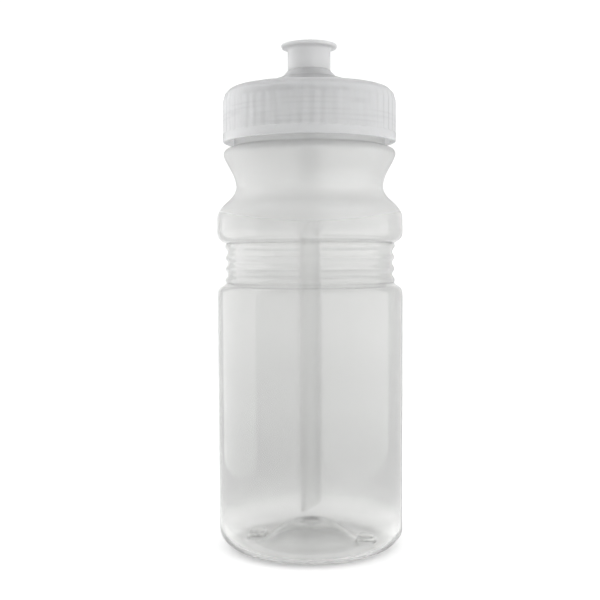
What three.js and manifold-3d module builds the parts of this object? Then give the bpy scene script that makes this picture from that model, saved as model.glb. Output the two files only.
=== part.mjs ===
// Push-pull sports bottle for a bicycle cage: a clear blow-moulded bottle, a translucent screw cap
// with a valve stem, a seal ring, a push-pull spout and a drinking straw.
// Millimetres, +Z up. The bottle's axis is the Z axis and z = 0 is the surface it stands on.
import * as THREE from "three";
import { mergeVertices } from "three/addons/utils/BufferGeometryUtils.js";
import Module from "manifold-3d";

// Driving dimensions
const BODY_R = 36.5; // top of the straight wall and the bulge; fits the 73 to 74 mm ring of a bottle cage
const BASE_R = 36.35; // foot of the straight wall
const WALL = 0.8; // blown wall of the body
const BOTTLE_SIDES = 36;

const STANDING_RING = [22.5, 27.3]; // flat ring that the bottle stands on
const BASE_CORNER_Z = 8; // height of the base corner's rounding
const PUSH_UP_R = 5; // flat top of the pushed-up base
const PUSH_UP_Z = 8.7;
const LUG_ANGLE = -12; // degrees; two pockets in the standing ring face each other
const LUG_R = 22; // middle of a pocket
const LUG_SIZE = [7, 8, 3.4]; // radial, tangential, depth

const BODY_TOP_Z = 99.8; // where the straight wall starts to turn in
const BODY_TOP_R = 3.85; // radius of that turn
const GRIP_Z = 105.4; // crest of the lowest grip ring
const GRIP_PITCH = 4.4;
const GRIP_RINGS = 4;
const GRIP_R = 33.05; // mean radius of the rings
const GRIP_DEPTH = 0.47; // crest and groove stand this far from the mean
const GRIP_HOLLOW = 0.3; // the middle rings are this much smaller
const BULGE_Z = 123.95; // centre height of the bulge's lower corner
const BULGE_CORNER_R = 4;

const NECK_R = 29.5;
const NECK_BORE_R = 27.8;
const NECK_Z = 157.6; // top of the shoulder bead
const RIM_Z = 175.9;

const GAP = 0.3; // clearance between pieces that touch
const THREAD_PITCH = 4.23; // six turns to the inch, right-handed
const THREAD_CREST_R = 31.2;
const THREAD_FRONT_Z = 167; // height of the neck thread at the front, -Y
const THREAD_START = 225; // degrees anticlockwise from +X
const NECK_TURNS = 1.25;
const CAP_TURNS = 1;

const CAP_R = 33.5; // skirt between the ribs
const CAP_WALL_R = 31.7; // inside of the skirt
const CAP_THREAD_R = 29.9; // crest of the cap's inner thread
const CAP_BOTTOM_Z = 159.2;
const DECK_Z = 177.6; // underside that presses on the seal
const DOME_EDGE = [31.1, 179.7]; // radius and height of the dome's outer corner
const DOME_TOP = [10.9, 184.6];
const PLUG_R = [26, 27.2]; // ring inside the neck bore
const RIBS = 50;
const RIB_WIDTH = 1.7;
const RIB_HEIGHT = 0.45;
const RIB_Z = [162.3, 175];

const SPOUT_R = 8.4; // sleeve of the spout
const SPOUT_Z = 187.3;
const TOP_Z = 197.5; // top of the closed spout
const FLANGE_R = 10.9;
const ORIFICE_R = 2.6;
const STEM_R = 6.3; // valve stem under the spout
const STEM_BORE_R = 4.6;
const STEM_TOP_Z = 195.2;
const SPOUT_BORE_R = 7.2;
const BEAD_R = SPOUT_BORE_R - GAP; // snap bead that keeps the spout on the stem
const LIP_R = STEM_R + 0.35; // lip inside the sleeve that catches the bead
const TIP_R = ORIFICE_R - GAP; // post that plugs the orifice of the closed spout

const STRAW_R = 3.85;
const STRAW_BORE_R = 3.1;
const STRAW_Z = [12.8, 157];
const STRAW_CUT = 30; // degrees that the foot is cut off level
const SPIGOT_R = STRAW_BORE_R - GAP;
const SPIGOT_BORE_R = 1.9;
const SPIGOT_Z = 148;

const wasm = await Module();
wasm.setup();

const v = (r, z) => new THREE.Vector2(r, z);
const radians = THREE.MathUtils.degToRad;

// A closed geometry as a manifold-3d solid, and back.
function solid(geometry) {
  const bare = geometry.index ? geometry.toNonIndexed() : geometry.clone();
  bare.deleteAttribute("normal");
  bare.deleteAttribute("uv");
  const merged = mergeVertices(bare, 1e-3);
  const triVerts = new Uint32Array(merged.index.array);
  return new wasm.Manifold(
    new wasm.Mesh({ numProp: 3, vertProperties: merged.attributes.position.array, triVerts }),
  );
}

function geometryOf(manifold) {
  const mesh = manifold.getMesh();
  const geometry = new THREE.BufferGeometry();
  geometry.setAttribute("position", new THREE.BufferAttribute(mesh.vertProperties, 3));
  geometry.setIndex(new THREE.BufferAttribute(mesh.triVerts, 1));
  geometry.computeVertexNormals();
  return geometry;
}

// Turns an outline of (radius, height) points about the Z axis.
function turned(outline, sides, closed = true) {
  const points = closed ? [...outline, outline[0]] : outline;
  return new THREE.LatheGeometry(points, sides).rotateX(Math.PI / 2);
}

// An arc of the outline between two angles, in degrees, or of an ellipse with its own height.
function arc(r, z, radius, from, to, steps, height = radius) {
  const path = new THREE.Path();
  path.absellipse(r, z, radius, height, radians(from), radians(to), to < from);
  return path.getSpacedPoints(steps);
}

// A thread's centre line. Its section keeps x radial and y axial all the way round.
class Helix extends THREE.Curve {
  constructor(radius, z, start, turns) {
    super();
    Object.assign(this, { radius, z, start, turns });
  }

  angle(t) {
    return radians(this.start + 360 * this.turns * t);
  }

  getPoint(t, target = new THREE.Vector3()) {
    const a = this.angle(t);
    const rise = THREAD_PITCH * this.turns * t;
    return target.set(this.radius * Math.cos(a), this.radius * Math.sin(a), this.z + rise);
  }

  computeFrenetFrames(segments) {
    const frames = { tangents: [], normals: [], binormals: [] };
    for (let i = 0; i <= segments; i++) {
      const a = this.angle(i / segments);
      const tangent = this.getTangent(i / segments);
      const normal = new THREE.Vector3(Math.cos(a), Math.sin(a), 0);
      frames.tangents.push(tangent);
      frames.normals.push(normal);
      frames.binormals.push(tangent.clone().cross(normal));
    }
    return frames;
  }
}

// A thread ridge from its root, sunk a little into the wall, to its crest.
function thread(rootR, crestR, z, turns) {
  const rootWidth = 2.4;
  const crestWidth = 1.2;
  const stepsPerTurn = 32;
  const height = crestR - rootR;
  const section = new THREE.Shape([
    v(0, -rootWidth / 2),
    v(height, -crestWidth / 2),
    v(height, crestWidth / 2),
    v(0, rootWidth / 2),
  ]);
  return new THREE.ExtrudeGeometry(section, {
    steps: Math.round(stepsPerTurn * turns),
    extrudePath: new Helix(rootR, z, THREAD_START, turns),
  });
}

const FRONT = 270;
const THREAD_Z = THREAD_FRONT_Z + (THREAD_PITCH * (THREAD_START - FRONT)) / 360;

// Blow-moulded bottle: pushed-up base, grip rings, bulge, waist, shoulder bead and threaded neck
function bottle() {
  const [ringIn, ringOut] = STANDING_RING;
  const pushUp = (r, lift) => {
    const share = (r - PUSH_UP_R) / (ringIn - PUSH_UP_R);
    return v(r, lift + (PUSH_UP_Z * (1 + Math.cos(Math.PI * share))) / 2);
  };
  const pushUpRadii = [PUSH_UP_R, 10, 14.5, 19, ringIn];
  const gripTop = GRIP_Z + GRIP_PITCH * (GRIP_RINGS - 0.75);
  const grip = [];
  const gripSteps = 4 * GRIP_RINGS - 2;
  for (let i = 0; i <= gripSteps; i++) {
    const ripple = GRIP_DEPTH * Math.cos((Math.PI * (i - 1)) / 2);
    const hollow = GRIP_HOLLOW * Math.sin((Math.PI * i) / gripSteps);
    grip.push(v(GRIP_R + ripple - hollow, GRIP_Z + (GRIP_PITCH * (i - 1)) / 4));
  }
  const waist = new THREE.SplineCurve([
    v(BODY_R, 126.5),
    v(36.2, 130.9),
    v(34.3, 134.2),
    v(30.95, 137.4),
    v(29.1, 140.4),
    v(28.95, 143),
    v(29.9, 146.4),
    v(32.5, 151.3),
    v(33.7, 154.4),
    v(33, 156.1),
    v(31.4, 157),
    v(NECK_R, NECK_Z),
  ]).getSpacedPoints(15);
  const outside = [
    v(0, PUSH_UP_Z),
    ...pushUpRadii.map((r) => pushUp(r, 0)),
    ...arc(ringOut, BASE_CORNER_Z, BASE_R - ringOut, -90, 0, 5, BASE_CORNER_Z),
    ...arc(BODY_R - BODY_TOP_R, BODY_TOP_Z, BODY_TOP_R, 0, 75, 4),
    ...grip,
    ...arc(BODY_R - BULGE_CORNER_R, BULGE_Z, BULGE_CORNER_R, -65, 0, 4),
    ...waist,
    v(NECK_R, RIM_Z),
  ];
  const gripBoreR = GRIP_R - GRIP_DEPTH - GRIP_HOLLOW - WALL;
  const bodyBoreR = BODY_R - WALL;
  const baseBoreR = BASE_R - WALL;
  const inside = [
    v(NECK_BORE_R, RIM_Z),
    v(NECK_BORE_R, NECK_Z - 1),
    v(32.8, 154.6),
    v(31.5, 151.2),
    v(28.1, 144.6),
    v(28.1, 141.5),
    v(30.3, 137.2),
    v(33.4, 133.8),
    v(35.2, 130.6),
    v(bodyBoreR, 127),
    v(bodyBoreR, BULGE_Z),
    v(gripBoreR + 1.2, BULGE_Z - BULGE_CORNER_R + WALL),
    v(gripBoreR, gripTop),
    v(gripBoreR, GRIP_Z),
    v(gripBoreR + 1.2, BODY_TOP_Z + BODY_TOP_R - WALL - 0.4),
    v(bodyBoreR, BODY_TOP_Z - 0.5),
    ...arc(ringOut, BASE_CORNER_Z, baseBoreR - ringOut, 0, -90, 4, BASE_CORNER_Z - WALL),
    ...pushUpRadii.toReversed().map((r) => pushUp(r, WALL)),
    v(0, PUSH_UP_Z + WALL),
  ];
  const shell = solid(turned([...outside, ...inside], BOTTLE_SIDES, false));
  const ridge = thread(NECK_R - GAP, THREAD_CREST_R, THREAD_Z, NECK_TURNS);
  let whole = shell.add(solid(ridge));
  for (const side of [0, 180]) {
    const angle = radians(LUG_ANGLE + side);
    whole = whole.add(solid(lugBox(WALL, WALL).rotateZ(angle)));
    whole = whole.subtract(solid(lugBox(0, -1).rotateZ(angle)));
  }
  return geometryOf(whole);
}

// A pocket of the base, grown by a wall on its sides and top, from a height up
function lugBox(wall, foot) {
  const [radial, tangential, depth] = LUG_SIZE;
  const height = depth + wall - foot;
  const box = new THREE.BoxGeometry(radial + 2 * wall, tangential + 2 * wall, height);
  return box.translate(LUG_R, 0, foot + height / 2);
}

// Screw cap: ribbed skirt, sloping top, plug ring, valve stem with its post, and the straw's spigot
function screwCap() {
  const chamfer = 0.3;
  const crestR = CAP_R + RIB_HEIGHT; // the smooth band below the ribs is as wide as they are
  const domeUnder = 183.3; // flat underside below the stem
  const funnelZ = 185;
  const shell = turned(
    [
      v(crestR - chamfer, CAP_BOTTOM_Z),
      v(crestR, CAP_BOTTOM_Z + chamfer),
      v(crestR, RIB_Z[0]),
      v(CAP_R, RIB_Z[0] + chamfer),
      v(CAP_R, RIB_Z[1]),
      v(33, 177.2),
      v(32.2, 178.8),
      v(...DOME_EDGE),
      v(20, 181.65),
      v(...DOME_TOP),
      v(9, 185.6),
      v(SPOUT_R, SPOUT_Z - GAP),
      v(STEM_R, SPOUT_Z - GAP),
      v(STEM_R, STEM_TOP_Z - 1.2),
      v(BEAD_R, STEM_TOP_Z - 0.8),
      v(BEAD_R, STEM_TOP_Z - 0.4),
      v(STEM_R, STEM_TOP_Z),
      v(STEM_BORE_R, STEM_TOP_Z),
      v(STEM_BORE_R, funnelZ),
      v(SPIGOT_BORE_R, funnelZ - 1),
      v(SPIGOT_BORE_R, SPIGOT_Z),
      v(SPIGOT_R, SPIGOT_Z),
      v(SPIGOT_R, domeUnder),
      v(8.5, domeUnder),
      v(PLUG_R[0], DOME_EDGE[1] - 0.6),
      v(PLUG_R[0], RIM_Z - 3),
      v(PLUG_R[1], RIM_Z - 3),
      v(PLUG_R[1], DECK_Z),
      v(CAP_WALL_R, DECK_Z),
      v(CAP_WALL_R, CAP_BOTTOM_Z),
    ],
    RIBS,
  );
  const capThreadZ = THREAD_Z - THREAD_PITCH / 2;
  let cap = solid(shell).add(solid(thread(CAP_WALL_R + GAP, CAP_THREAD_R, capThreadZ, CAP_TURNS)));

  const ribDepth = 1; // partly sunk in the skirt
  const ribLength = RIB_Z[1] - RIB_Z[0];
  const rib = new THREE.BoxGeometry(ribDepth, RIB_WIDTH, ribLength);
  rib.translate(crestR - ribDepth / 2, 0, RIB_Z[0] + ribLength / 2);
  for (let i = 0; i < RIBS; i++) {
    cap = cap.add(solid(rib.clone().rotateZ((2 * Math.PI * (i + 0.5)) / RIBS)));
  }

  const postFoot = funnelZ + 1;
  const webHeight = 4;
  const webThickness = 1.2;
  const post = turned(
    [
      v(0, postFoot),
      v(TIP_R, postFoot),
      v(TIP_R, TOP_Z - 0.9),
      v(TIP_R - 0.4, TOP_Z - GAP),
      v(0, TOP_Z - GAP),
    ],
    20,
    false,
  );
  cap = cap.add(solid(post));
  for (const turn of [0, Math.PI / 2]) {
    const web = new THREE.BoxGeometry(2 * STEM_BORE_R + 1, webThickness, webHeight);
    web.translate(0, 0, postFoot + webHeight / 2).rotateZ(turn);
    cap = cap.add(solid(web));
  }
  return geometryOf(cap);
}

// Flexible ring clamped between the neck's rim and the cap's deck
function capSeal() {
  const inner = PLUG_R[1] + GAP;
  const outer = CAP_WALL_R - GAP;
  const bottom = RIM_Z + GAP;
  const top = DECK_Z - GAP;
  return turned([v(inner, bottom), v(outer, bottom), v(outer, top), v(inner, top)], BOTTLE_SIDES);
}

// Push-pull spout: a sleeve with a drinking flange, pulled up to open
function pushPullSpout() {
  const flangeZ = TOP_Z - 1.8;
  return turned(
    [
      v(SPOUT_R - 0.3, SPOUT_Z),
      v(SPOUT_R, SPOUT_Z + 0.3),
      v(SPOUT_R, flangeZ - 0.8),
      v(SPOUT_R + 0.3, flangeZ - 0.1),
      v(FLANGE_R - 0.7, flangeZ + 0.2),
      v(FLANGE_R - 0.1, flangeZ + 0.6),
      v(FLANGE_R, flangeZ + 1.1),
      v(FLANGE_R - 0.1, flangeZ + 1.5),
      v(FLANGE_R - 0.45, TOP_Z),
      v(ORIFICE_R + 0.8, TOP_Z),
      v(ORIFICE_R, TOP_Z - 0.8),
      v(ORIFICE_R, flangeZ),
      v(SPOUT_BORE_R, flangeZ),
      v(SPOUT_BORE_R, SPOUT_Z + 1.2),
      v(LIP_R, SPOUT_Z + 0.9),
      v(LIP_R, SPOUT_Z + 0.3),
      v(LIP_R + 0.3, SPOUT_Z),
    ],
    24,
  );
}

// Drinking straw pushed over the cap's spigot, its foot cut at a slant
function straw() {
  const [foot, top] = STRAW_Z;
  const tube = turned(
    [v(STRAW_BORE_R, foot), v(STRAW_R, foot), v(STRAW_R, top), v(STRAW_BORE_R, top)],
    20,
  );
  const size = 30;
  const cut = new THREE.BoxGeometry(size, size, size);
  cut.translate(size / 2, 0, -size / 2).rotateY(-radians(STRAW_CUT)).translate(-STRAW_R, 0, foot);
  return geometryOf(solid(tube).subtract(solid(cut)));
}

function piece(name, geometry, look) {
  const mesh = new THREE.Mesh(geometry, new THREE.MeshStandardMaterial(look));
  mesh.name = name;
  return mesh;
}

const clear = { color: 0xd4d7d5, roughness: 0.12, metalness: 0, transparent: true, opacity: 0.35 };
const milky = { color: 0xc9cdd1, roughness: 0.42, metalness: 0, transparent: true, opacity: 0.85 };
const assembly = new THREE.Group();
assembly.add(
  piece("bottle", bottle(), clear),
  piece("screw_cap", screwCap(), milky),
  piece("cap_seal", capSeal(), { color: 0xdedfdc, roughness: 0.6, metalness: 0 }),
  piece("push_pull_spout", pushPullSpout(), { ...milky, color: 0xc3c7cb }),
  piece("straw", straw(), { ...clear, color: 0xc6c8c7, roughness: 0.3, opacity: 0.6 }),
);

export default assembly;
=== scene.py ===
"""Looks for the push-pull sports bottle: fine turned meshes, plastics, stage and lights."""
import math

import bpy
import numpy as np
from mathutils import Matrix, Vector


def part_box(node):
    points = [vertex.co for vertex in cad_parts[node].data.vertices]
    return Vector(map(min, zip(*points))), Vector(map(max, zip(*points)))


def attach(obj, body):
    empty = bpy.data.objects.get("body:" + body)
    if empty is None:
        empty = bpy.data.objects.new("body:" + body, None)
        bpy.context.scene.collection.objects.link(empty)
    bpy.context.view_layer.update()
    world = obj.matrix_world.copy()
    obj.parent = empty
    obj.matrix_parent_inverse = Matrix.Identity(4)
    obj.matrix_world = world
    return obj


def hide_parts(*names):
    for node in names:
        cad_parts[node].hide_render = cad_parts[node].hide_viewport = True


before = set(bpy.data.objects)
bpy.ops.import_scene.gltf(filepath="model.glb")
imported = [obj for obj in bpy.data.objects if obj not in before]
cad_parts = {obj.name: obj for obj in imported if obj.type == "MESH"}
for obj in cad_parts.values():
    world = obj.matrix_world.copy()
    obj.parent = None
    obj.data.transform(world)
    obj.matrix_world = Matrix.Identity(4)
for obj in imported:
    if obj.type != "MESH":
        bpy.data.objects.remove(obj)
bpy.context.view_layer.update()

MM = 0.001
MICRON = 0.000001


def mm_box(node):
    """Lowest and highest corner of a CAD node, in millimetres."""
    low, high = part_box(node)
    return [c / MM for c in low], [c / MM for c in high]


# ---- Sizes in millimetres, from the frame where it has them ----
BULGE_R, _, RIM_Z = mm_box("bottle")[1]
(_, _, SPIGOT_Z), (CAP_CREST_R, _, POST_Z) = mm_box("screw_cap")
(_, _, SPOUT_Z), (FLANGE_R, _, TOP_Z) = mm_box("push_pull_spout")
(_, _, SEAL_Z), (SEAL_R, _, SEAL_TOP_Z) = mm_box("cap_seal")
(_, _, STRAW_FOOT_Z), (STRAW_R, _, STRAW_TOP_Z) = mm_box("straw")
GAP = 0.3  # clearance between pieces

BASE_R = BULGE_R - 0.15  # foot of the straight wall, which widens to the bulge's radius
WALL = 0.8
BASE_EXTRA = 0.5  # blown bottles are thicker at the base
BASE_EXTRA_Z = 14.0  # the extra thickness fades out up to here
NECK_WALL = 1.7
NECK_WALL_Z = 153.0  # where the wall starts to thicken towards the neck
STANDING_RING = (22.5, 27.3)  # inner and outer radius
BASE_CORNER_Z = 8.0  # height of the base corner's rounding
PUSH_UP_R = 5.0  # flat top of the pushed-up base
PUSH_UP_Z = 8.7
GATE_R = 3.4  # round dimple in that flat top, left by the mould
GATE_DEPTH = 0.6
BODY_TOP_Z = 99.8  # where the straight wall starts to turn in
BODY_TOP_R = 3.85  # radius of that turn
GRIP_Z = 105.4  # crest of the lowest grip ring
GRIP_PITCH = 4.4
GRIP_RINGS = 4
GRIP_R = 33.05  # mean radius of the rings
GRIP_DEPTH = 0.47  # crest and groove stand this far from the mean
GRIP_HOLLOW = 0.3  # the middle rings are this much smaller
BULGE_Z = 123.95
BULGE_CORNER_R = 4.0
NECK_R = 29.5
NECK_Z = RIM_Z - 18.3  # top of the shoulder bead

LUG_ANGLE = -12.0  # pockets in the standing ring and the mould's parting line
LUG_R = 22.0
LUG_SIZE = (7.0, 8.0)  # radial, tangential
LUG_DEPTH = 3.4
LUG_CORNER_R = 2.5
LUG_FLANK = 1.6  # width of a pocket's sloping side
SEAM_HEIGHT = 0.12
SEAM_HALF_WIDTH = 0.3
SEAM_IN_R = 27.0  # the parting line fades out inside this radius

THREAD_PITCH = 4.23
THREAD_START = 225.0  # degrees anticlockwise from +X
THREAD_FADE = 24.0  # degrees over which a thread's end fades out
THREAD_FRONT_Z = RIM_Z - 8.9  # height of the neck thread at the front, -Y
CAP_THREAD_Z = THREAD_FRONT_Z - THREAD_PITCH / 2  # the cap thread lies between the neck's
NECK_TURNS = 1.25
CAP_TURNS = 1.0
THREAD_DEPTH = 1.7
THREAD_HALF_WIDTH = 1.25
THREAD_FLANK = 0.75
CAP_THREAD_DEPTH = 1.8

CAP_BOTTOM_Z = RIM_Z - 16.7
CAP_WALL_R = SEAL_R + GAP  # inside of the skirt
RIBS = 50
RIB_WIDTH = 1.7
RIB_HEIGHT = 0.45
RIB_Z = (RIM_Z - 13.6, RIM_Z - 0.5)
CAP_R = CAP_CREST_R - RIB_HEIGHT
RIB_FOOT = 2.0  # a rib's flanks run out softly to this far from its middle
DOME_EDGE = (31.1, RIM_Z + 3.8)
DOME_TOP = (10.9, SPOUT_Z - 2.7)

SPOUT_R = 8.4
SPOUT_BORE_R = 7.2
ORIFICE_R = 2.6
STEM_R = 6.3
STEM_BORE_R = 4.6
POST_R = ORIFICE_R - GAP
STRAW_BORE_R = 3.1
STRAW_CUT = 30.0


# ---- Outlines: arrays of (radius, height) ----
def arc(r, z, radius, start, end, steps=12, height=None):
    """An arc about (r, z) between two angles in degrees, of an ellipse if a height is given."""
    a = np.radians(np.linspace(start, end, steps + 1))
    return np.stack([r + radius * np.cos(a), z + (height or radius) * np.sin(a)], 1)


def spline(points, steps):
    """A Catmull-Rom curve through the points."""
    p = np.array(points, float)
    p = np.vstack([2 * p[0] - p[1], p, 2 * p[-1] - p[-2]])
    t = np.linspace(0, 1, steps, endpoint=False)[:, None]
    spans = [
        0.5 * (2 * b + (c - a) * t + (2 * a - 5 * b + 4 * c - d) * t**2 + (3 * b - a - 3 * c + d) * t**3)
        for a, b, c, d in zip(p[:-3], p[1:-2], p[2:-1], p[3:])
    ]
    return np.vstack([*spans, p[-2:-1]])


def rounded(corners, closed=True):
    """An outline through corners (radius, height, rounding), each corner turned into an arc."""
    spans = 5  # in each arc
    last = len(corners) - 1
    out = []
    for i, (r, z, rounding) in enumerate(corners):
        here = np.array([r, z])
        if not rounding or (not closed and i in (0, last)):
            out.append(here[None])
            continue
        before = np.array(corners[i - 1][:2]) - here
        after = np.array(corners[0 if i == last else i + 1][:2]) - here
        lengths = np.linalg.norm(before), np.linalg.norm(after)
        a, b = before / lengths[0], after / lengths[1]
        half = math.acos(np.clip(a @ b, -1, 1)) / 2
        reach = min(rounding / math.tan(half), 0.49 * min(lengths))
        radius = reach * math.tan(half)
        centre = here + (a + b) / np.linalg.norm(a + b) * radius / math.sin(half)
        start, end = here + a * reach - centre, here + b * reach - centre
        sweep = math.atan2(start[0] * end[1] - start[1] * end[0], start @ end)
        turn = math.atan2(start[1], start[0]) + np.linspace(0, sweep, spans + 1)
        out.append(centre + radius * np.stack([np.cos(turn), np.sin(turn)], 1))
    return np.vstack(out)


def refined(outline, step, closed=False):
    """The outline with extra points, so that no span is longer than step(middle of the span)."""
    ends = np.roll(outline, -1, 0) if closed else outline[1:]
    out = []
    for a, b in zip(outline, ends):
        count = max(1, math.ceil(np.linalg.norm(b - a) / step((a + b) / 2)))
        out.append(a + (b - a) * np.linspace(0, 1, count, endpoint=False)[:, None])
    if not closed:
        out.append(outline[-1:])
    return np.vstack(out)


def inset(outline, thickness):
    """The outline moved to its left by a thickness per point, without the points that fold back."""
    along = np.gradient(outline, axis=0)
    along /= np.linalg.norm(along, axis=1)[:, None]
    moved = outline + np.stack([-along[:, 1], along[:, 0]], 1) * thickness[:, None]
    kept = [moved[0]]
    for point, direction in zip(moved[1:], along[1:]):
        if (point - kept[-1]) @ direction > 0.03:
            kept.append(point)
    return np.array(kept)


def smoothstep(x):
    x = np.clip(x, 0, 1)
    return x * x * (3 - 2 * x)


# ---- Meshes ----
SHARP_EDGE = 38  # degrees between two faces from which their edge isn't shaded smooth


def even_angles(count):
    return np.linspace(0, 2 * math.pi, count, endpoint=False)


def revolve(name, outline, angles, closed=True, shape=None, ridges=None):
    """A mesh turned about Z. An open outline starts and ends on the axis. shape(r, z, angle) bends it.

    ridges(r, z, angle) says where ridges lie behind the surface, as the attribute "ridges"; the cap's
    material paints shade there.
    """
    ring = outline if closed else outline[1:-1]
    rows, columns = len(ring), len(angles)
    angle = np.repeat(angles[None, :], rows, 0)
    r = np.repeat(ring[:, :1], columns, 1)
    z = np.repeat(ring[:, 1:], columns, 1)
    if shape:
        r, z = shape(r, z, angle)
    verts = np.stack([r * np.cos(angle), r * np.sin(angle), z], 2).reshape(-1, 3)
    column = np.arange(columns)
    following = (column + 1) % columns
    faces = []
    for i in range(rows if closed else rows - 1):
        here, above = i * columns, (i + 1) % rows * columns
        faces += np.stack([here + column, here + following, above + following, above + column], 1).tolist()
    if not closed:
        poles = [[0, 0, outline[0][1]], [0, 0, outline[-1][1]]]
        first, last = len(verts), len(verts) + 1
        top = (rows - 1) * columns
        verts = np.vstack([verts, poles])
        faces += [[first, b, a] for a, b in zip(column.tolist(), following.tolist())]
        faces += [[last, top + a, top + b] for a, b in zip(column.tolist(), following.tolist())]
    mesh = bpy.data.meshes.new(name)
    mesh.from_pydata((verts * MM).tolist(), [], faces)
    mesh.validate()
    mesh.polygons.foreach_set("use_smooth", [True] * len(mesh.polygons))
    mesh.set_sharp_from_angle(angle=math.radians(SHARP_EDGE))
    mesh.update()
    if ridges:
        shown = mesh.attributes.new("ridges", "FLOAT", "POINT")
        shown.data.foreach_set("value", ridges(r, z, angle).ravel())
    piece = bpy.data.objects.new(name, mesh)
    bpy.context.collection.objects.link(piece)
    return piece


def thread_height(z, angle, front_z, turns, depth):
    """How far a thread ridge stands out at each point. Its ends fade out over a part of a turn."""
    height = np.zeros_like(z)
    for turn in range(3):  # a thread passes each angle up to three times
        degrees = np.degrees(angle) + 360 * turn
        middle = front_z + THREAD_PITCH * (degrees - 270) / 360
        ridge = smoothstep((THREAD_HALF_WIDTH - np.abs(z - middle)) / THREAD_FLANK)
        ends = smoothstep((degrees - THREAD_START) / THREAD_FADE)
        ends = ends * smoothstep((THREAD_START + 360 * turns - degrees) / THREAD_FADE)
        height = np.maximum(height, depth * ridge * ends)
    return height


# ---- Bottle ----
def bottle_outside():
    ring_in, ring_out = STANDING_RING
    gate_z = PUSH_UP_Z - GATE_DEPTH
    gate = rounded([(0, gate_z, 0), (GATE_R, gate_z, 0.4), (GATE_R + GATE_DEPTH, PUSH_UP_Z, 0.4),
                    (PUSH_UP_R, PUSH_UP_Z, 0)], closed=False)
    share = np.linspace(0, 1, 30)[1:]
    push_up = np.stack([PUSH_UP_R + (ring_in - PUSH_UP_R) * share,
                        PUSH_UP_Z * (1 + np.cos(math.pi * share)) / 2], 1)
    grip_z = np.linspace(GRIP_Z - GRIP_PITCH / 4, GRIP_Z + GRIP_PITCH * (GRIP_RINGS - 0.75), 60)
    hollow = GRIP_HOLLOW * np.sin(np.linspace(0, math.pi, len(grip_z)))
    ripple = GRIP_DEPTH * np.cos(2 * math.pi * (grip_z - GRIP_Z) / GRIP_PITCH)
    grip = np.stack([GRIP_R - hollow + ripple, grip_z], 1)
    # Top of the bulge, squeeze waist, shoulder bead
    waist = spline([(BULGE_R, 126.5), (36.2, 130.9), (34.3, 134.2), (30.95, 137.4), (29.1, 140.4),
                    (28.95, 143), (29.9, 146.4), (32.5, 151.3), (33.7, 154.4), (33, 156.1), (31.4, 157)], 6)
    neck = rounded([(31.4, 157, 0), (NECK_R, NECK_Z, 0.6), (NECK_R, RIM_Z, 0.4),
                    (NECK_R - NECK_WALL, RIM_Z, 0)], closed=False)
    return np.vstack([
        gate, push_up,
        arc(ring_out, BASE_CORNER_Z, BASE_R - ring_out, -90, 0, 14, BASE_CORNER_Z),
        arc(BULGE_R - BODY_TOP_R, BODY_TOP_Z, BODY_TOP_R, 0, 72, 8),
        grip,
        arc(BULGE_R - BULGE_CORNER_R, BULGE_Z, BULGE_CORNER_R, -62, 0, 8),
        waist, neck[1:-1],
    ])


def bottle():
    outside = bottle_outside()
    height = outside[:, 1]
    wall = WALL + (NECK_WALL - WALL) * smoothstep((height - NECK_WALL_Z) / 4)
    wall += BASE_EXTRA * smoothstep(1 - height / BASE_EXTRA_Z)
    inside = inset(outside, wall)
    inside = inside[inside[:, 1] < RIM_Z - 0.5]
    inside[0, 0] = 0
    inside = np.vstack([inside, [NECK_R - NECK_WALL, RIM_Z - 0.4]])

    pocket_step, thread_step, wall_step = 0.35, 0.5, 2.5

    def inner_step(point):
        r, z = point
        pocket = abs(r - LUG_R) < LUG_SIZE[0] / 2 + 1.5 and z < LUG_DEPTH + 2 * WALL
        return pocket_step if pocket else wall_step

    def outer_step(point):
        return thread_step if point[1] > NECK_Z else inner_step(point)

    outside = refined(outside, outer_step)
    outline = np.vstack([outside, refined(inside, inner_step)[::-1]])
    axis = math.radians(LUG_ANGLE)
    pocket_columns = np.arange(-14, 15)  # degrees from the axis of the pockets
    seam_columns = np.arange(-0.45, 0.46, 0.15)
    fine = np.radians(np.concatenate([pocket_columns, seam_columns]))
    sides = [(axis + fine + half) % (2 * math.pi) for half in (0, math.pi)]
    angles = np.unique(np.concatenate([even_angles(120), *sides]).round(6))

    def shape(r, z, angle):
        outer = np.arange(len(r))[:, None] < len(outside) - 1
        thread = thread_height(z, angle, THREAD_FRONT_Z, NECK_TURNS, THREAD_DEPTH)
        from_seam = np.abs((angle - axis + math.pi / 2) % math.pi - math.pi / 2) * r
        seam_ridge = SEAM_HEIGHT * smoothstep(1 - from_seam / SEAM_HALF_WIDTH)
        seam_ridge = seam_ridge * smoothstep((r - SEAM_IN_R) / 2)
        seam_ridge = seam_ridge * (z < RIM_Z - 1)
        r = r + np.where(outer, np.where(z > NECK_Z, np.maximum(thread, seam_ridge), seam_ridge), 0)
        x = r * np.cos(angle - axis)
        y = r * np.sin(angle - axis)
        past_x = np.abs(np.abs(x) - LUG_R) - LUG_SIZE[0] / 2 + LUG_CORNER_R
        past_y = np.abs(y) - LUG_SIZE[1] / 2 + LUG_CORNER_R
        past = np.hypot(np.maximum(past_x, 0), np.maximum(past_y, 0))
        past = past + np.minimum(np.maximum(past_x, past_y), 0)
        rise = LUG_DEPTH * smoothstep(0.5 + (LUG_CORNER_R - past) / LUG_FLANK)
        floor = np.where(outer, 0, WALL + BASE_EXTRA)
        z = np.where(z < LUG_DEPTH + floor, np.maximum(z, floor + rise), z)
        return r, z

    shell = revolve("bottle_shell", outline, angles, closed=False, shape=shape)
    inner_faces = [i // len(angles) >= len(outside) - 1 for i in range((len(outline) - 3) * len(angles))]
    for polygon, inner in zip(shell.data.polygons, inner_faces):
        polygon.material_index = int(inner)
    return shell


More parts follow.
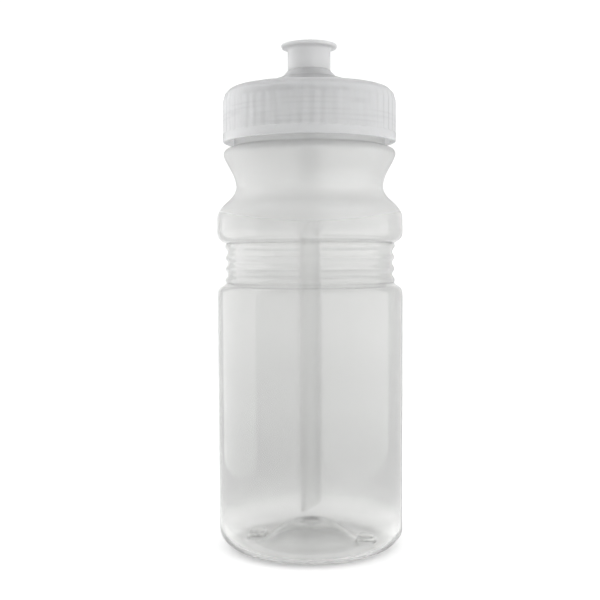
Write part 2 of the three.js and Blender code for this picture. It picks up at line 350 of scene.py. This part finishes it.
# ---- Screw cap ----
def cap_outline():
    stem_top = POST_Z - 2
    funnel_z = SPOUT_Z - 2.3
    spigot_r, spigot_bore_r = STRAW_BORE_R - GAP, 1.9
    deck_z = SEAL_TOP_Z + GAP
    plug_in, plug_out = 26.0, 27.2
    under_z = SPOUT_Z - 4
    ledge_z = SPOUT_Z - 0.06  # the sleeve sits on the ledge
    return rounded([
        (CAP_WALL_R, CAP_BOTTOM_Z, 0.4), (CAP_CREST_R, CAP_BOTTOM_Z, 0.6), (CAP_CREST_R, RIB_Z[0], 0.1),
        (CAP_R, RIB_Z[0] + 0.25, 0.2), (CAP_R, RIM_Z - 1.2, 3), (33.1, RIM_Z + 1.8, 2),
        (*DOME_EDGE, 2.4), (20, RIM_Z + 5.75, 30), (*DOME_TOP, 2.2),
        (SPOUT_R, ledge_z, 0.12), (STEM_R, ledge_z, 0.15), (STEM_R, stem_top - 1.2, 0.2),
        (SPOUT_BORE_R - GAP, stem_top - 0.8, 0.2), (SPOUT_BORE_R - GAP, stem_top - 0.4, 0.2),
        (STEM_R, stem_top, 0.2), (STEM_BORE_R, stem_top, 0.3), (STEM_BORE_R, funnel_z, 0.5),
        (spigot_bore_r, funnel_z - 1, 0.4), (spigot_bore_r, SPIGOT_Z, 0.15), (spigot_r, SPIGOT_Z, 0.3),
        (spigot_r, under_z, 0.6), (8.5, under_z, 2), (plug_in, DOME_EDGE[1] - 0.6, 0.6),
        (plug_in, RIM_Z - 3, 0.3), (plug_out, RIM_Z - 3, 0.4), (plug_out, deck_z, 0.3),
        (CAP_WALL_R, deck_z, 0.5),
    ])


def screw_cap():
    fine_step, plain_step = 0.6, 2.4

    def step(point):
        r, z = point
        ribbed = r > CAP_R - 2.5 and RIB_Z[0] - 1 < z < RIB_Z[1] + 0.5
        threaded = CAP_WALL_R - 0.5 < r < CAP_WALL_R + 0.5 and RIM_Z - 14 < z < RIM_Z - 5
        return fine_step if ribbed or threaded else plain_step

    outline = refined(cap_outline(), step, closed=True)
    capsule = RIB_WIDTH / 2  # a rib ends in a half round at its top

    def shape(r, z, angle):
        pitch = 2 * math.pi / RIBS
        across = ((angle + pitch / 2) % pitch - pitch / 2) * r
        beyond = np.maximum(z - (RIB_Z[1] - capsule), 0)
        rib = RIB_HEIGHT * smoothstep(1 - np.hypot(across, beyond) / RIB_FOOT)
        rib = np.minimum(rib, CAP_CREST_R - r)
        skin = (r > CAP_R - 2.2) & (z > RIB_Z[0]) & (z < RIB_Z[1] + 0.5)
        wall = (np.abs(r - CAP_WALL_R) < 0.2) & (z < RIM_Z - 3)
        thread = thread_height(z, angle, CAP_THREAD_Z, CAP_TURNS, CAP_THREAD_DEPTH)
        return r + np.where(skin, rib, 0) - np.where(wall, thread, 0), z

    # Where the neck and cap threads lie behind the skirt; the cap's material paints shade along them.
    def thread_flanks(r, z, angle):
        flanks = np.zeros_like(z)
        for front_z, turns in [(THREAD_FRONT_Z, NECK_TURNS), (CAP_THREAD_Z, CAP_TURNS)]:
            ridge = thread_height(z, angle, front_z, turns, 1)
            flanks = np.maximum(flanks, 4 * ridge * (1 - ridge))
        return np.where(r > CAP_R - 0.2, flanks, 0)

    return revolve("cap_moulding", outline, even_angles(RIBS * 7), shape=shape, ridges=thread_flanks)


def valve_post():
    """The post that plugs the spout, held in the stem by four webs."""
    foot = SPOUT_Z - 1.3
    web_top = foot + 4
    half_web = 0.6
    outline = refined(rounded([
        (0, foot, 0), (POST_R, foot, 0.3), (POST_R, web_top, 0), (POST_R, POST_Z - 0.7, 0),
        (POST_R - 0.4, POST_Z, 0.25), (0, POST_Z, 0),
    ], closed=False), lambda p: 0.3)

    def shape(r, z, angle):
        off = np.abs(np.sin(2 * angle)) / 2  # sine of the angle from the nearest web, near it
        reach = np.minimum(half_web / np.maximum(off, 1e-6), STEM_BORE_R - 0.02)
        web = (r > POST_R - 0.35) & (z < web_top)
        return np.where(web, np.maximum(r, reach), r), z

    return revolve("valve_post", outline, even_angles(192), closed=False, shape=shape)


# ---- Seal, spout and straw ----
def cap_seal():
    inner = 27.5
    outline = rounded([(inner, SEAL_Z, 0.3), (SEAL_R, SEAL_Z, 0.3), (SEAL_R, SEAL_TOP_Z, 0.3),
                       (inner, SEAL_TOP_Z, 0.3)])
    return revolve("seal_ring", outline, even_angles(192))


def push_pull_spout():
    flange_z = TOP_Z - 1.8
    lip_r = STEM_R + 0.35
    outline = rounded([
        (lip_r, SPOUT_Z, 0.25), (SPOUT_R, SPOUT_Z, 0.2), (SPOUT_R, flange_z, 0.9),
        (FLANGE_R, flange_z + 0.25, 0.85), (FLANGE_R, TOP_Z - 0.1, 0.45), (9.9, TOP_Z, 0.4),
        (4.4, TOP_Z - 0.15, 0.5), (ORIFICE_R, TOP_Z - 0.9, 0.4), (ORIFICE_R, flange_z, 0.3),
        (SPOUT_BORE_R, flange_z, 0.5), (SPOUT_BORE_R, SPOUT_Z + 1.2, 0.3), (lip_r, SPOUT_Z + 0.9, 0.25),
    ])
    return revolve("spout_sleeve", refined(outline, lambda p: 0.8, closed=True), even_angles(160))


def straw():
    outline = refined(np.array([
        (STRAW_BORE_R, STRAW_FOOT_Z), (STRAW_R, STRAW_FOOT_Z),
        (STRAW_R, STRAW_TOP_Z), (STRAW_BORE_R, STRAW_TOP_Z),
    ]), lambda p: 3.0, closed=True)
    slope = math.tan(math.radians(STRAW_CUT))

    def shape(r, z, angle):
        cut = (r * np.cos(angle) + STRAW_R) * slope
        return r, z + cut * (STRAW_TOP_Z - z) / (STRAW_TOP_Z - STRAW_FOOT_Z)

    return revolve("straw_tube", outline, even_angles(96), shape=shape)


# ---- Materials ----
class Plastic:
    """A moulded plastic: cloudy colour, uneven gloss and a faintly wavy, grained surface."""

    def __init__(self, name, colour, roughness, transmission, ior, grain, waviness):
        self.material = bpy.data.materials.new(name)
        self.material.use_nodes = True
        self.nodes, self.links = self.material.node_tree.nodes, self.material.node_tree.links
        self.place = self.nodes.new("ShaderNodeTexCoord").outputs["Object"]
        self.shader = self.nodes["Principled BSDF"]
        self.shader.inputs["Transmission Weight"].default_value = transmission
        self.shader.inputs["IOR"].default_value = ior
        self.depth = self.between(self.noise(18, 3), 0.975, 1.02)
        self.gloss = self.between(self.noise(140, 4), roughness * 0.85, roughness * 1.2)
        self.colour = colour
        wavy = self.bump(self.noise(55, 1), waviness)
        self.link(self.bump(self.noise(1400, 2), grain, wavy), "Normal")

    def link(self, output, socket):
        self.links.new(output, self.shader.inputs[socket])

    def noise(self, scale, detail):
        texture = self.nodes.new("ShaderNodeTexNoise")
        texture.inputs["Scale"].default_value = scale
        texture.inputs["Detail"].default_value = detail
        self.links.new(self.place, texture.inputs["Vector"])
        return texture.outputs["Fac"]

    def between(self, value, low, high, start=0.0, end=1.0, smooth=False):
        """Maps a value that runs from start to end onto low to high."""
        node = self.nodes.new("ShaderNodeMapRange")
        node.interpolation_type = "SMOOTHSTEP" if smooth else "LINEAR"
        for socket, number in zip(("From Min", "From Max", "To Min", "To Max"), (start, end, low, high)):
            node.inputs[socket].default_value = number
        self.links.new(value, node.inputs["Value"])
        return node.outputs["Result"]

    def along(self, axis):
        node = self.nodes.new("ShaderNodeSeparateXYZ")
        self.links.new(self.place, node.inputs["Vector"])
        return node.outputs[axis]

    def ramp(self, value, end, stops):
        """A curve over the value from 0 to end, through (share of the way, level) stops."""
        node = self.nodes.new("ShaderNodeValToRGB")
        node.color_ramp.interpolation = "EASE"
        elements = node.color_ramp.elements
        while len(elements) < len(stops):
            elements.new(1)
        for element, (share, level) in zip(elements, stops):
            element.position = share
            element.color = (level, level, level, 1)
        self.links.new(self.between(value, 0, 1, 0, end), node.inputs["Fac"])
        return node.outputs["Color"]

    def combine(self, operation, a, b):
        node = self.nodes.new("ShaderNodeMath")
        node.operation = operation
        self.links.new(a, node.inputs[0])
        self.links.new(b, node.inputs[1])
        return node.outputs["Value"]

    def bump(self, height, distance, below=None):
        node = self.nodes.new("ShaderNodeBump")
        node.inputs["Distance"].default_value = distance
        self.links.new(height, node.inputs["Height"])
        if below:
            self.links.new(below, node.inputs["Normal"])
        return node.outputs["Normal"]

    def finish(self):
        # The base colour, scaled by depth, which in the clear and cap plastics also carries painted light
        # and shade.
        tint_and_painted_light = self.nodes.new("ShaderNodeVectorMath")
        tint_and_painted_light.operation = "SCALE"
        tint_and_painted_light.inputs["Vector"].default_value = self.colour
        self.links.new(self.depth, tint_and_painted_light.inputs["Scale"])
        self.link(tint_and_painted_light.outputs["Vector"], "Base Color")
        self.link(self.gloss, "Roughness")
        return self.material


FROST_Z = (121.1, 133.1)  # heights between which the frosting sets in
FROST_SAG = 4.7  # it starts this much higher at the bottle's sides


def clear_plastic(name, roughness, frost):
    """Blown plastic: clear but for its grey colour, glossiest at the base and frosted from the bulge up.
    Its colour is painted lighter and darker band by band up its height, as light and shade: lightest at the
    base, against the shadow beneath the bottle.

    frost is what the frosting adds to the roughness.
    """
    plastic = Plastic(name, (1, 1.003, 0.995), roughness, transmission=1, ior=1.5,
                      grain=0.3 * MICRON, waviness=4 * MICRON)
    height = plastic.along("Z")
    # Painted light and shade: the colour runs lighter and darker with height, lightest at the base against
    # the shadow beneath the bottle.
    tint_and_painted_light = plastic.ramp(height, RIM_Z * MM, [
        (0, 0.99), (0.045, 0.98), (0.08, 0.77), (0.12, 0.685), (0.21, 0.71), (0.35, 0.755), (0.5, 0.79),
        (0.6, 0.785), (0.68, 0.85), (0.74, 0.81), (0.8, 0.88), (0.86, 0.85), (0.9, 0.87), (0.93, 0.96),
    ])
    clearness = plastic.ramp(height, RIM_Z * MM, [
        (0, 0.97), (0.06, 0.97), (0.12, 0.95), (0.69, 0.94), (0.75, 0.78), (1, 0.78),
    ])
    polish = plastic.between(height, 0.45, 1, 10 * MM, 30 * MM, smooth=True)
    side = plastic.along("X")
    sag = plastic.between(plastic.combine("MULTIPLY", side, side), 0, -FROST_SAG * MM, 0, (BULGE_R * MM)**2)
    start, end = FROST_Z[0] * MM, FROST_Z[1] * MM
    frosting = plastic.between(plastic.combine("ADD", height, sag), 0, frost, start, end, smooth=True)
    # The painted light and shade by height goes into the colour here.
    plastic.depth = plastic.combine("MULTIPLY", plastic.depth, tint_and_painted_light)
    plastic.gloss = plastic.combine("ADD", plastic.combine("MULTIPLY", plastic.gloss, polish), frosting)
    plastic.link(clearness, "Transmission Weight")
    return plastic.finish()


def milky_plastic():
    """Cap plastic, painted with shade and light: faint dark stripes where the threads lie behind it, its
    top a little darker, and its stem lighter again.
    """
    plastic = Plastic("milky_plastic", (0.905, 0.908, 0.914), roughness=0.42, transmission=0.84, ior=1.47,
                      grain=2 * MICRON, waviness=20 * MICRON)
    ridges = plastic.nodes.new("ShaderNodeAttribute")
    ridges.attribute_name = "ridges"
    # Painted shade: the colour darker along the thread flanks behind the skirt.
    painted_thread_shade = plastic.between(ridges.outputs["Fac"], 1, 0.9)
    height = plastic.along("Z")
    # Painted shade: the top of the cap, above the rim, a little darker.
    painted_top_shade = plastic.between(height, 1, 0.85, (RIM_Z + 3.4) * MM, (RIM_Z + 4.4) * MM, smooth=True)
    # The stem above the top is lifted back out of that painted shade, nearly to the skirt's colour.
    stem = plastic.between(height, 1, 1.14, (SPOUT_Z - 3.4) * MM, (SPOUT_Z - 2) * MM, smooth=True)
    # The painted shade and light multiply into the colour here.
    for factor in painted_thread_shade, painted_top_shade, stem:
        plastic.depth = plastic.combine("MULTIPLY", plastic.depth, factor)
    return plastic.finish()


CLEAR = [
    clear_plastic("clear_plastic_outside", 0.09, 0.33),
    clear_plastic("clear_plastic_inside", 0.2, 0.03),
]
MILKY = [milky_plastic()]
SPOUT_MILKY = [
    Plastic("spout_plastic", (0.85, 0.852, 0.855), roughness=0.36, transmission=0.6, ior=1.47,
            grain=2 * MICRON, waviness=20 * MICRON).finish(),
]
SEAL_SOFT = [
    Plastic("seal_elastomer", (0.85, 0.855, 0.85), roughness=0.5, transmission=0.4, ior=1.42,
            grain=8 * MICRON, waviness=20 * MICRON).finish(),
]
STRAW_PLASTIC = [
    Plastic("straw_plastic", (0.999, 1, 0.999), roughness=0.42, transmission=0.99, ior=1.25,
            grain=2 * MICRON, waviness=10 * MICRON).finish(),
]

for piece, body, node, slot, materials in [
    (bottle(), "bottle", "bottle", "clear_shell", CLEAR),
    (screw_cap(), "cap", "screw_cap", "cap_plastic", MILKY),
    (valve_post(), "cap", "screw_cap", "cap_plastic", MILKY),
    (cap_seal(), "seal", "cap_seal", "seal_elastomer", SEAL_SOFT),
    (push_pull_spout(), "spout", "push_pull_spout", "spout_plastic", SPOUT_MILKY),
    (straw(), "cap", "straw", "straw_plastic", STRAW_PLASTIC),
]:
    for material in materials:
        piece.data.materials.append(material)
    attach(piece, body)
    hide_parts(node)


# ---- Stage, light and camera ----
def stage():
    bpy.ops.mesh.primitive_circle_add(vertices=96, radius=6, fill_type="NGON")
    floor = bpy.context.object
    floor.name = "floor"
    material = bpy.data.materials.new("floor_white")
    material.use_nodes = True
    shader = material.node_tree.nodes["Principled BSDF"]
    shader.inputs["Base Color"].default_value = (0.8, 0.8, 0.8, 1)
    shader.inputs["Roughness"].default_value = 0.9
    shader.inputs["Specular IOR Level"].default_value = 0.1
    shader.inputs["Emission Color"].default_value = (1, 1, 1, 1)
    shader.inputs["Emission Strength"].default_value = 0.22  # a light table
    floor.data.materials.append(material)


def softbox(name, azimuth, distance, size, radiance):
    """A panel that stands on the floor and faces the axis. Azimuth: degrees from -Y towards +X."""
    width, height = size
    turn = math.radians(azimuth)
    light = bpy.data.lights.new(name, "AREA")
    light.shape = "RECTANGLE"
    light.size, light.size_y = size
    light.energy = radiance * math.pi * width * height
    lamp = bpy.data.objects.new(name, light)
    lamp.location = (distance * math.sin(turn), -distance * math.cos(turn), height / 2)
    lamp.rotation_euler = (math.pi / 2, 0, turn)
    lamp.visible_camera = False
    bpy.context.collection.objects.link(lamp)


def studio():
    world = bpy.data.worlds.new("studio")
    world.use_nodes = True
    sky = world.node_tree.nodes["Background"]
    sky.inputs["Color"].default_value = (1, 1, 1, 1)
    sky.inputs["Strength"].default_value = 1.08
    scene.world = world
    softbox("left_softbox", -95, 0.17, (0.21, 0.4), 0.9)
    softbox("right_softbox", 59, 0.17, (0.34, 0.4), 0.8)


def camera():
    """The viewing point: a little above mid height, turned a little left and down."""
    distance, height = 0.405, 0.1142
    focal = 1.7045  # picture widths
    yaw, pitch, roll = math.radians(0.565), math.radians(2.38), math.radians(0.27)
    data = bpy.data.cameras.new("camera")
    data.sensor_width = 36
    data.lens = focal * data.sensor_width
    data.clip_start = 0.01
    view = bpy.data.objects.new("camera", data)
    turn = Matrix.Rotation(yaw, 4, "Z") @ Matrix.Rotation(math.pi / 2 - pitch, 4, "X")
    turn = turn @ Matrix.Rotation(-roll, 4, "Z")
    view.matrix_world = Matrix.Translation((0, -distance, height)) @ turn
    bpy.context.collection.objects.link(view)
    scene.camera = view


scene = bpy.context.scene
stage()
studio()
camera()
scene.view_settings.view_transform = "Standard"
scene.cycles.max_bounces = 24
scene.cycles.transmission_bounces = 24
scene.cycles.glossy_bounces = 8
